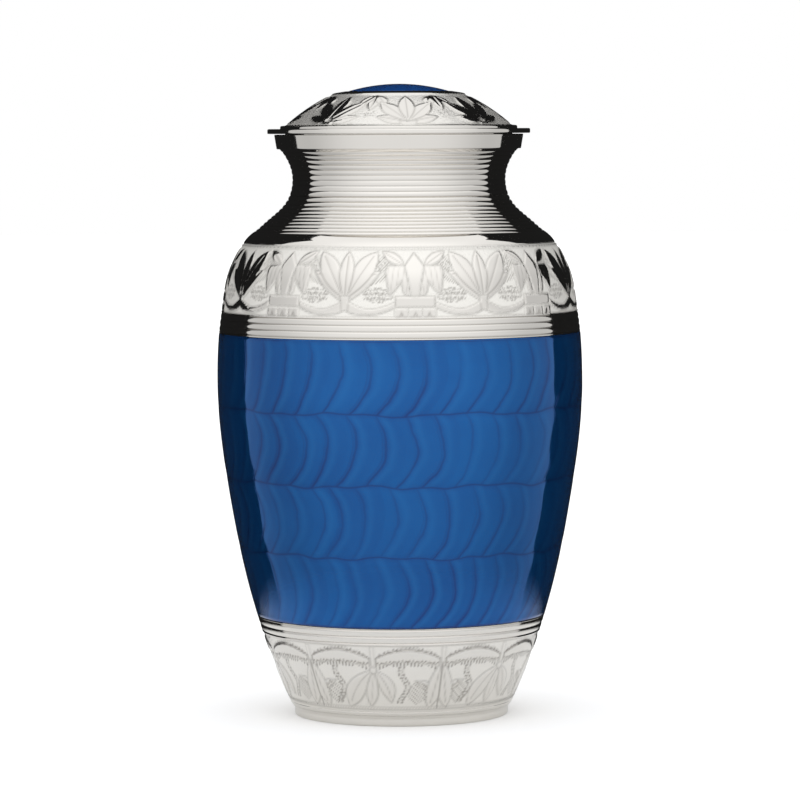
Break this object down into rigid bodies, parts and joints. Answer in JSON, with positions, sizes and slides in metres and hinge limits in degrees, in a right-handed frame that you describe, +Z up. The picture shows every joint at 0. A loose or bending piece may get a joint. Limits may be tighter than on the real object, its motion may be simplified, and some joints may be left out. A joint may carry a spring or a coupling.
{
  "type": "enamelled brass cremation urn",
  "caption": "Tall shouldered metal urn with a flat foot, a ringed neck, a glossy blue enamel band round the belly, engraved leaf bands and a domed lid that lifts off.",
  "frame": {"origin": "centre of the flat underside, on the urn's axis, where it stands", "axes": "+Z up along the urn's axis of symmetry; its ornament runs all round, so no side is the front"},
  "size_m": [0.151, 0.151, 0.2606],
  "materials": {
    "nickel_plated_brass": "polished",
    "blue_enamel": "gloss"
  },
  "bodies": {
    "root": {"urn_body": "nickel_plated_brass", "enamel_band": "blue_enamel", "lid": "nickel_plated_brass", "lid_enamel": "blue_enamel"}
  },
  "joints": []
}
